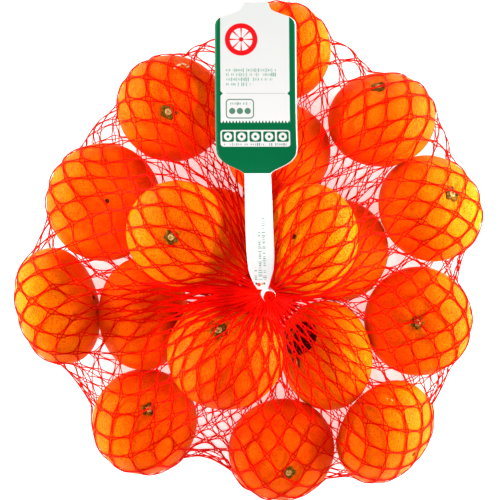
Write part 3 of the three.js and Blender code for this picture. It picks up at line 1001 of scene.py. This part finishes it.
def knot_normals():
    """The way that looks out of the bag at every knot, from the two strands that cross there."""
    sums = np.zeros((2, net_knots.size, 3))
    for family in range(2):
        run = unit_vectors(net_points[net_chain[family, ..., 1]] - net_points[net_chain[family, ..., 0]])
        into = unit_vectors(net_points[net_chain[family, ..., -1]] - net_points[net_chain[family, ..., -2]])
        np.add.at(sums[family], net_chain[family, ..., 0], run)
        np.add.at(sums[family], net_chain[family, ..., -1], into)
    return unit_vectors(np.cross(sums[0], sums[1]))


def cell_widths():
    """Distance between neighbouring knots of a row, for every knot."""
    rows = net_points[net_knots]
    gaps = np.linalg.norm(np.roll(rows, -1, axis=1) - rows, axis=-1)
    return np.minimum(gaps, np.roll(gaps, 1, axis=1)).ravel()


# %% Cord: the pairs of filaments
WINDOW = 3.5                      # how suddenly the pair parts at a knot
PILE = 0.12                       # one family of strands lies this far over the other


def at_every_step(values, lines):
    """Values at the knots of each line, blended along the strands between them."""
    knots = values[lines[:, ::4]]
    share = np.arange(STEPS_PER_STRAND) / STEPS_PER_STRAND
    share = share.reshape(1, 1, -1, *([1] * (knots.ndim - 2)))
    steps = knots[:, :-1, None] * (1 - share) + knots[:, 1:, None] * share
    return np.concatenate([steps.reshape(len(lines), -1, *knots.shape[2:]), knots[:, -1:]], axis=1)


def filament_pairs():
    """All filaments as [filament, point, xyz] in measured millimetres."""
    rng = np.random.default_rng(9)
    outward, widths = knot_normals(), cell_widths()
    spread = np.minimum(SPREAD * rng.uniform(0.7, 1.25, net_knots.size), NARROWEST * widths)
    made = []
    for family, lines in enumerate(strand_lines()):
        path = smooth_line(net_points[lines], STEPS_PER_STRAND // 4)
        run = unit_vectors(np.gradient(path, axis=1))
        side = unit_vectors(np.cross(run, at_every_step(outward, lines)))
        wave = np.abs(np.cos(pi * np.arange(path.shape[1]) / STEPS_PER_STRAND)) ** WINDOW
        apart = TOUCH + np.maximum(at_every_step(spread, lines) - TOUCH, 0) * wave
        for sign in (-1, 1):
            flat = (path + sign * side * apart[..., None]).reshape(-1, 3)
            for _ in range(2):
                push_out(flat, nearest_fruit(flat), FILAMENT + 0.05 + PILE * family)
            keep_under_label(flat, 0.55)
            lift_off_floor(flat)
            made.append(flat.reshape(path.shape))
    return np.concatenate(made)


filaments = filament_pairs()
print("filaments:", filaments.shape[0], "of", filaments.shape[1], "points")


# %% Cord: the gathered ends
def gathered_end(line_ends, start, axis, length, radius, flare, rng):
    """Points that carry each filament on through a clip to its cut end."""
    count = len(line_ends)
    right = unit_vectors(np.cross(axis, [1.0, 0.0, 0.0]))
    back = np.cross(axis, right)
    around = np.arctan2((line_ends - start) @ back, (line_ends - start) @ right)
    ring = np.cos(around)[:, None] * right + np.sin(around)[:, None] * back
    reach = radius * np.sqrt(rng.uniform(0.05, 1.0, count))
    steps = []
    for share in (0.35, 0.7, 1.0):
        wide = reach * (1 + (flare / radius - 1) * share ** 2)
        cut = rng.uniform(-0.8, 0.5, count) if share == 1.0 else np.zeros(count)
        steps.append(start + ring * wide[:, None] + np.outer(length * share + cut, axis))
    return np.stack(steps, axis=1)


end_rng = np.random.default_rng(11)
top_end = gathered_end(filaments[:, 0], TOP_KNOTS, TOP_AXIS, 6.6, 2.2, 3.2, end_rng)
base_end = gathered_end(filaments[:, -1], BASE_KNOTS, BASE_AXIS, 7.4, 2.2, 2.7, end_rng)
filaments = np.concatenate([top_end[:, ::-1], filaments, base_end], axis=1)
cord_length = np.linalg.norm(np.diff(filaments, axis=1), axis=-1).sum()
print("cord in the net:", round(float(cord_length) * MM, 1), "m")

# %% [markdown]
# ## Red net cord
#
# The cord is dyed yarn: a strong red with a soft gloss. Its shade drifts slowly along the
# bag, and fine streaks break the highlight. Thin cord lets light through; a faint red glow,
# which is painted light, stands in for that and keeps the cord from turning black in shadow.

# %% Net material
NET_RED = (0.86, 0.007, 0.001, 1.0)
NET_DARK_RED = (0.62, 0.003, 0.001, 1.0)
RED_GLOSS = (1.0, 0.18, 0.08, 1.0)
NET_PAINTED_GLOW = 0.07


def net_material():
    material, graph, shader = new_material("net_cord")
    where = graph.place()
    drift = graph.ramp(graph.noise(where, 60.0), 0.35, 0.65)
    streak = graph.noise(where, 1500.0)
    graph.fill(shader, {
        "Base Color": graph.blend(drift, NET_DARK_RED, NET_RED),
        "Roughness": graph.ramp(streak, 0.3, 0.7, 0.34, 0.50), "Normal": graph.bump(0.2, 0.0001, streak),
        "Specular IOR Level": 0.10, "Specular Tint": RED_GLOSS,
        # painted light: a faint red glow that lifts the cord in shadow
        "Emission Color": NET_RED, "Emission Strength": NET_PAINTED_GLOW})
    return material


# %% Net pieces
BUNCH, BUNCH_AT, BUNCH_WIDTH = 0.75, 11.0, 8.5   # share, distance from the clip and width in mm
FOLD, FOLD_PLACE, FOLD_SIZE = 1.7, (-23.0, -26.0), (20.0, 8.0)    # share, middle and size in mm
FOLD_OVER = 30.0                  # the fold is only in the upper side of the bag


def cord_swell(lines):
    """How much thicker the cords are where they bunch up round a clip and in the fold on its left."""
    away = np.min([np.linalg.norm(lines - knots, axis=-1) for knots in (TOP_KNOTS, BASE_KNOTS)], axis=0)
    beside = ((lines[..., :2] - FOLD_PLACE) / FOLD_SIZE) ** 2
    fold = FOLD * np.exp(-beside.sum(-1)) * (lines[..., 2] > FOLD_OVER)
    return 1 + BUNCH * np.exp(-((away - BUNCH_AT) / BUNCH_WIDTH) ** 2) + fold


def cord_piece(name, lines, material):
    """A mesh of round cords along lines of measured points."""
    swell = cord_swell(lines)
    curve = bpy.data.curves.new(name, "CURVE")
    curve.dimensions = "3D"
    curve.bevel_depth = FILAMENT * MM
    curve.bevel_resolution = 1
    curve.use_fill_caps = True
    for line, thick in zip(to_frame(lines), swell):
        spline = curve.splines.new("POLY")
        spline.points.add(len(line) - 1)
        spline.points.foreach_set("co", np.c_[line, np.ones(len(line))].ravel())
        spline.points.foreach_set("radius", thick)
    drawn = bpy.data.objects.new(name, curve)
    scene.collection.objects.link(drawn)
    mesh = bpy.data.meshes.new_from_object(drawn.evaluated_get(bpy.context.evaluated_depsgraph_get()))
    bpy.data.objects.remove(drawn)
    mesh.name = name
    mesh.materials.clear()
    mesh.materials.append(material)
    mesh.polygons.foreach_set("use_smooth", [True] * len(mesh.polygons))
    piece = bpy.data.objects.new(name, mesh)
    scene.collection.objects.link(piece)
    print(name, len(mesh.polygons) * 2, "triangles")
    return piece


net_look = net_material()
SEAMS = {"net_crown": (0, 9), "net_flank": (9, 19), "net_base": (19, HALF_ROWS)}
EXTRA = top_end.shape[1]          # the points of the gathered end come first
net_pieces = []
for name, (start, end) in SEAMS.items():
    first = 0 if start == 0 else EXTRA + start * STEPS_PER_STRAND
    last = filaments.shape[1] if end == HALF_ROWS else EXTRA + end * STEPS_PER_STRAND + 1
    net_pieces.append(cord_piece(name, filaments[:, first:last], net_look))

# %% [markdown]
# ## Clips
#
# Each clip is a short band of soft aluminium, bent round the gathered net until its ends
# almost meet. The section of the band is drawn as a small rectangle, its corners are
# rounded, and it is spun about the axis of the neck by the angle that the bend covers.

# %% Clips
CLIP_INNER, CLIP_THICKNESS, CLIP_WIDTH = 2.7, 1.0, 5.0
CLIP_CORNER = 0.28
CLIP_BEND = 260                   # degrees round the neck


def clip_material():
    material, graph, shader = new_material("clip_aluminium")
    brushed = graph.noise(graph.place(), 1800.0, 3.0)
    graph.fill(shader, {
        "Base Color": graph.blend(brushed, (0.84, 0.84, 0.85, 1), grey(0.96)),
        "Roughness": graph.ramp(brushed, 0.3, 0.7, 0.38, 0.50),
        "Normal": graph.bump(0.25, 0.0001, brushed), "Metallic": 0.35})
    return material


def make_clip(name, middle, axis, opening, material):
    bm = bmesh.new()
    turn_by = {key: Matrix.Rotation(angle, 3, key) for key, angle in
               (("X", pi / 2), ("Z", radians((360 - CLIP_BEND) / 2)))}
    bmesh.ops.create_grid(bm, x_segments=1, y_segments=1, size=0.5)
    bmesh.ops.scale(bm, vec=(CLIP_THICKNESS, CLIP_WIDTH, 1), verts=bm.verts)
    bmesh.ops.rotate(bm, matrix=turn_by["X"], verts=bm.verts)
    bmesh.ops.translate(bm, vec=(CLIP_INNER + CLIP_THICKNESS / 2, 0, 0), verts=bm.verts)
    bmesh.ops.bevel(bm, geom=bm.verts[:], offset=CLIP_CORNER, segments=3, profile=0.5,
                    affect="VERTICES", material=-1)
    bmesh.ops.rotate(bm, matrix=turn_by["Z"], verts=bm.verts)
    bmesh.ops.spin(bm, geom=bm.faces[:] + bm.edges[:] + bm.verts[:], axis=(0, 0, 1), cent=(0, 0, 0),
                   angle=radians(CLIP_BEND), steps=34)
    bmesh.ops.recalc_face_normals(bm, faces=bm.faces)
    out = unit_vectors(opening - axis * (opening @ axis))
    turn = np.stack([out, np.cross(axis, out), axis])
    move_points(bm, lambda points: to_frame(points @ turn + middle))
    bmesh.ops.recalc_face_normals(bm, faces=bm.faces)
    open_edges = sum(not edge.is_manifold for edge in bm.edges)
    print(name, len(bm.faces), "faces,", open_edges, "open edges")
    return finish_piece(bm, name, material)


clip_look = clip_material()
upper_clip = make_clip("upper_clip_band", TOP_CLIP_AT, TOP_AXIS, np.array([0.6, -1.0, 0.0]), clip_look)
lower_clip = make_clip("lower_clip_band", BASE_CLIP_AT, BASE_AXIS, np.array([1.0, 0.0, 0.0]), clip_look)

# %% [markdown]
# ## Label
#
# The label is one strip of smooth printed film, folded double over the gathered net and
# pinched by the clip, so two leaves lie on each other. From the clip a narrow strap climbs
# over the fruit and widens into the printed panel. A grid of faces is the simplest start:
# one side of the grid becomes the way along the label, the other its width, which changes
# along the way.

# %% Label: two leaves
LEAF = 0.22                       # thickness of one leaf
FRONT_LIFT, REAR_LIFT = LABEL_THICKNESS - 0.12, 0.14    # of the two leaves over the underside
REAR_INSET = 0.35                 # the rear leaf is a little narrower on each side
ROWS, COLUMNS = 150, 24


def make_leaf(name, height, inset, material):
    bm = bmesh.new()
    bmesh.ops.create_grid(bm, x_segments=COLUMNS, y_segments=ROWS, size=0.5)
    flat = np.array([v.co for v in bm.verts])
    along = LABEL_TIP + (flat[:, 1] + 0.5) * (LABEL_LENGTH - LABEL_TIP)
    across = flat[:, 0] * 2 * (label_half_width(along) - inset)
    move_points(bm, lambda points: to_frame(label_points(along, across, height)))
    bm.verts.index_update()
    layer = bm.loops.layers.uv.new("print")
    for face in bm.faces:
        for loop in face.loops:
            k = loop.vert.index
            loop[layer].uv = (across[k] / LABEL_LENGTH + 0.5, along[k] / LABEL_LENGTH)
    leaf = finish_piece(bm, name, material)
    store(leaf, "from_edge", label_half_width(along) - np.abs(across))
    wall = leaf.modifiers.new("paper", "SOLIDIFY")
    wall.thickness = LEAF * MM
    wall.offset = 0.0
    return leaf


# %% [markdown]
# ## Print on the label
#
# The print is white with green: a green strip down each side, a green field below the panel
# with a pinked edge, and a white band across that field. Plain shapes fill the panel: a red
# disc with a slice of fruit, a framed field with three discs, a row of tiles, and rows of
# ticks for small print. Everything is drawn in millimetres from the label's own UV map: a
# shape is a mask, 1 inside and 0 outside, and the masks are laid over each other like inks.

# %% Print: masks for simple shapes
class Print(Graph):
    """Shapes drawn in millimetres across (w) and along (t) the label."""

    SOFT = 0.10                   # half the width of a soft edge

    def __init__(self, tree):
        super().__init__(tree)
        uv = self.node("ShaderNodeUVMap", uv_map="print").outputs["UV"]
        parts = self.node("ShaderNodeSeparateXYZ", {0: uv}).outputs
        self.w = self.times(self.less(parts["X"], 0.5), LABEL_LENGTH)
        self.t = self.times(parts["Y"], LABEL_LENGTH)
        self.edge = self.attribute("from_edge")

    def below(self, value, limit):
        """1 where value is less than limit."""
        return self.ramp(self.less(value, limit), -self.SOFT, self.SOFT, 1.0, 0.0)

    def above(self, value, limit):
        return self.ramp(self.less(value, limit), -self.SOFT, self.SOFT)

    def both(self, *masks):
        return reduce(self.times, masks)

    def either(self, *masks):
        return reduce(lambda one, other: self.math("MAXIMUM", one, other), masks)

    def outside(self, mask):
        return self.less(1.0, mask)

    def length(self, dx, dy):
        return self.math("SQRT", self.math("ADD", self.times(dx, dx), self.times(dy, dy)))

    def bar(self, w0, w1, t0, t1, corner=0.0):
        """A rectangle, with round corners where corner is given."""
        across = self.size(self.less(self.w, (w0 + w1) / 2))
        along = self.size(self.less(self.t, (t0 + t1) / 2))
        if not corner:
            return self.both(self.below(across, (w1 - w0) / 2), self.below(along, (t1 - t0) / 2))
        dx = self.math("MAXIMUM", self.less(across, (w1 - w0) / 2 - corner), 0.0)
        dy = self.math("MAXIMUM", self.less(along, (t1 - t0) / 2 - corner), 0.0)
        return self.below(self.length(dx, dy), corner)

    def from_point(self, w, t):
        """Distance to a point, and the angle round it."""
        dx, dy = self.less(self.w, w), self.less(self.t, t)
        return self.length(dx, dy), self.math("ARCTAN2", dy, dx)

    def disc(self, w, t, radius):
        return self.below(self.from_point(w, t)[0], radius)

    def teeth(self, along, pitch):
        """A rounded saw between 0 and 1."""
        return self.size(self.math("SINE", self.times(along, pi / pitch)))

    def chance(self, number):
        """A value from 0 to 1 that looks random, the same each time for the same number."""
        made = self.node("ShaderNodeTexWhiteNoise", {"W": number}, noise_dimensions="1D")
        return made.outputs["Value"]

    def small_print(self, along, across, start, end, middle, height, pitch, row):
        """A row of thin ticks of uneven height, parted into words, as small print looks from afar."""
        place = self.math("DIVIDE", self.less(along, start), pitch)
        tick = self.math("ADD", self.math("FLOOR", place), 31.7 * row)
        chance = self.chance(tick)
        beside = self.size(self.less(self.math("FRACT", place), 0.5))
        stroke = self.less(beside, self.ramp(chance, 0.0, 1.0, 0.12, 0.32))
        taller = self.ramp(self.math("FRACT", self.times(chance, 7.0)), 0.68, 0.70)
        tall = self.math("MULTIPLY_ADD", taller, height * 0.22, height * 0.33)
        upright = self.size(self.less(across, middle))
        word = self.ramp(self.chance(self.math("ADD", tick, 0.37)), 0.18, 0.20)
        return self.both(self.above(along, start), self.below(along, end), self.below(upright, tall),
                         self.ramp(stroke, -0.06, 0.06, 1.0, 0.0), word)


# %% Print: the inks and where they go
STRAP_WHITE = (0.90, 0.90, 0.895, 1.0)
# painted shade: the panel's white is darker than the strap's to make up for the stronger light on the
# panel, and greys further towards the far end, where the label bends away from the light
PANEL_SHADED_WHITE = (0.65, 0.65, 0.645, 1.0)
FAR_SHADED_WHITE = (0.59, 0.60, 0.585, 1.0)
LABEL_GREEN = colour(2, 102, 65)
LABEL_RED = colour(214, 22, 30)
TEXT_GREEN = colour(106, 154, 134)
PANEL_HALF = 23.0
STRAP_END = 60.6                  # the green field starts here
FOLD_LINE = 106.2
STRIP_WIDTH, STRIP_FROM, STRIP_TO = 3.1, 88.0, 150.6    # the green strips
RIGHT_MARGIN, RIGHT_WIDER = 0.7, 0.9        # white beside the right strip, which is wider
PINKED_LINE, PINKED_PITCH, PINKED_DEPTH = 91.0, 1.85, 1.6
BAND = (-20.2, 18.9, 75.9, 85.4, 1.6)       # across from and to, along from and to, corner
TILES = [-16.0, -8.3, -0.6, 7.1, 14.8]
TILE_MIDDLE = 81.65
SLICE = (-8.1, 136.9)             # middle of the red disc
TEXT_ROWS = [(119.4, 12.6), (116.9, 11.6), (114.2, 9.4), (111.4, -1.5)]    # height and right end
FRAME, FRAME_INSIDE = (-17.0, -1.1, 91.9, 103.1, 2.2), (-16.4, -1.7, 92.5, 102.5, 1.7)
BUTTONS = [-13.4, -9.05, -4.7]
STRAP_LINES = [(-2.9, 1.5, 7.0), (-0.4, 1.5, 28.0), (2.0, 1.5, 36.0)]      # place, start and end
# small blots where the print meets the clip: place across and along, radius and colour
BLOTS = [(-3.0, -0.4, 0.55, colour(30, 24, 10)), (-1.6, -0.9, 1.0, colour(236, 70, 20)),
         (0.3, -0.5, 0.6, colour(250, 170, 120)), (1.4, -0.3, 0.55, colour(90, 110, 60))]


def ground_print(ink):
    """White strap, a panel painted greyer than the strap and greying towards its far end as painted shade,
    green strips and field.
    """
    painted_shade_white = ink.blend(ink.ramp(ink.t, 92.0, 152.0), PANEL_SHADED_WHITE, FAR_SHADED_WHITE)
    ground = ink.blend(ink.above(ink.t, STRAP_END), STRAP_WHITE, painted_shade_white)
    on_right = ink.above(ink.w, 0.0)
    notch = ink.less(1.3, ink.size(ink.less(ink.t, FOLD_LINE)))
    strip = ink.math("MULTIPLY_ADD", on_right, RIGHT_WIDER, STRIP_WIDTH)
    strip = ink.math("ADD", strip, ink.math("MAXIMUM", notch, 0.0))
    side = ink.less(PANEL_HALF, ink.size(ink.w))
    strips = ink.both(ink.below(side, strip), ink.above(ink.t, STRIP_FROM), ink.below(ink.t, STRIP_TO))
    pinked = ink.math("MULTIPLY_ADD", ink.teeth(ink.w, PINKED_PITCH), -PINKED_DEPTH, PINKED_LINE)
    field = ink.both(ink.below(ink.t, pinked), ink.above(ink.t, STRAP_END))
    margin = ink.above(ink.edge, ink.times(on_right, RIGHT_MARGIN))
    return ink.blend(ink.both(ink.either(strips, field), margin), ground, LABEL_GREEN)


def band_print(ink, paint):
    """The white band, with a row of plain green tiles and a line of small print."""
    tiles = [ink.bar(w - 3.3, w + 3.3, 78.7, 84.6, 0.9) for w in TILES]
    holes = [ink.both(ink.disc(w, TILE_MIDDLE, 2.3), ink.above(ink.from_point(w, TILE_MIDDLE)[0], 0.8))
             for w in TILES]
    paint = ink.blend(ink.bar(*BAND), paint, PANEL_SHADED_WHITE)
    paint = ink.blend(ink.both(ink.either(*tiles), ink.outside(ink.either(*holes))), paint, LABEL_GREEN)
    small = ink.small_print(ink.w, ink.t, -18.6, 17.0, 77.2, 1.4, 1.15, 7)
    return ink.blend(ink.times(small, 0.75), paint, LABEL_GREEN)


def panel_print(ink, paint):
    """A red fruit slice, lines of small print and a framed field on the white panel."""
    distance, around = ink.from_point(*SLICE)
    wedges = ink.above(ink.size(ink.math("SINE", ink.times(around, 4.0))), 0.30)
    flesh = ink.both(ink.below(distance, 6.4), ink.above(distance, 1.3), wedges)
    paint = ink.blend(ink.below(distance, 9.2), paint, LABEL_RED)
    paint = ink.blend(flesh, paint, PANEL_SHADED_WHITE)
    for row, (t, right) in enumerate(TEXT_ROWS):
        text = ink.small_print(ink.w, ink.t, -17.0, right, t, 2.0, 0.95, row)
        paint = ink.blend(text, paint, TEXT_GREEN)
    dots = ink.math("GREATER_THAN", ink.math("SINE", ink.times(ink.w, 2 * pi / 1.1)), 0.0)
    dotted = ink.both(ink.bar(-17.0, 16.7, FOLD_LINE - 0.25, FOLD_LINE + 0.25), dots)
    paint = ink.blend(ink.times(dotted, 0.6), paint, LABEL_GREEN)
    rim = ink.both(ink.bar(*FRAME), ink.outside(ink.bar(*FRAME_INSIDE)))
    buttons = [ink.disc(w, 96.2, 1.75) for w in BUTTONS]
    words = ink.small_print(ink.w, ink.t, -14.6, -3.4, 100.4, 1.7, 0.9, 11)
    return ink.blend(ink.times(ink.either(rim, words, *buttons), 0.85), paint, LABEL_GREEN)


def strap_print(ink, paint):
    """Three lines of small print that run along the strap, and the blots at its end."""
    lines = [ink.small_print(ink.t, ink.w, start, end, w, 1.9, 0.95, 20 + row)
             for row, (w, start, end) in enumerate(STRAP_LINES)]
    paint = ink.blend(ink.either(*lines), paint, TEXT_GREEN)
    for w, t, radius, shade in BLOTS:
        paint = ink.blend(ink.disc(w, t, radius), paint, shade)
    return paint


def label_material(name, printed):
    material, graph, shader = new_material(name)
    fibre = graph.noise(graph.place(), 900.0, 3.0)
    if printed:
        ink = Print(material.node_tree)
        paint = strap_print(ink, panel_print(ink, band_print(ink, ground_print(ink))))
    else:
        paint = graph.blend(graph.ramp(fibre, 0.3, 0.7), (0.80, 0.80, 0.79, 1), (0.86, 0.86, 0.855, 1))
    graph.fill(shader, {
        "Base Color": paint, "Roughness": graph.ramp(fibre, 0.3, 0.7, 0.38, 0.46),
        "Normal": graph.bump(0.08, 0.0002, fibre), "Specular IOR Level": 0.15})
    return material


front_leaf = make_leaf("label_front", FRONT_LIFT, 0.0, label_material("label_print", True))
rear_leaf = make_leaf("label_rear", REAR_LIFT, REAR_INSET, label_material("label_back", False))
print("label leaves:", len(front_leaf.data.polygons), "faces each")

# %% [markdown]
# ## Tie the pieces to the part
#
# Every piece is tied to the one body of the part, and the imported solid that it stands for is hidden.

# %% Tie the pieces to the frame
bag_pieces = mandarins + [stars, scars, scar_highlight_specks, sticker] + net_pieces
TIES = [
    (bag_pieces, "net_bag", "net_and_fruit"),
    ([upper_clip], "top_clip", "clip"),
    ([lower_clip], "base_clip", "clip"),
    ([front_leaf, rear_leaf], "label", "label"),
]
for pieces, node, finish in TIES:
    for piece in pieces:
        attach(piece, "root")
        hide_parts(node)
    print(node, "is shown by", len(pieces), "pieces")
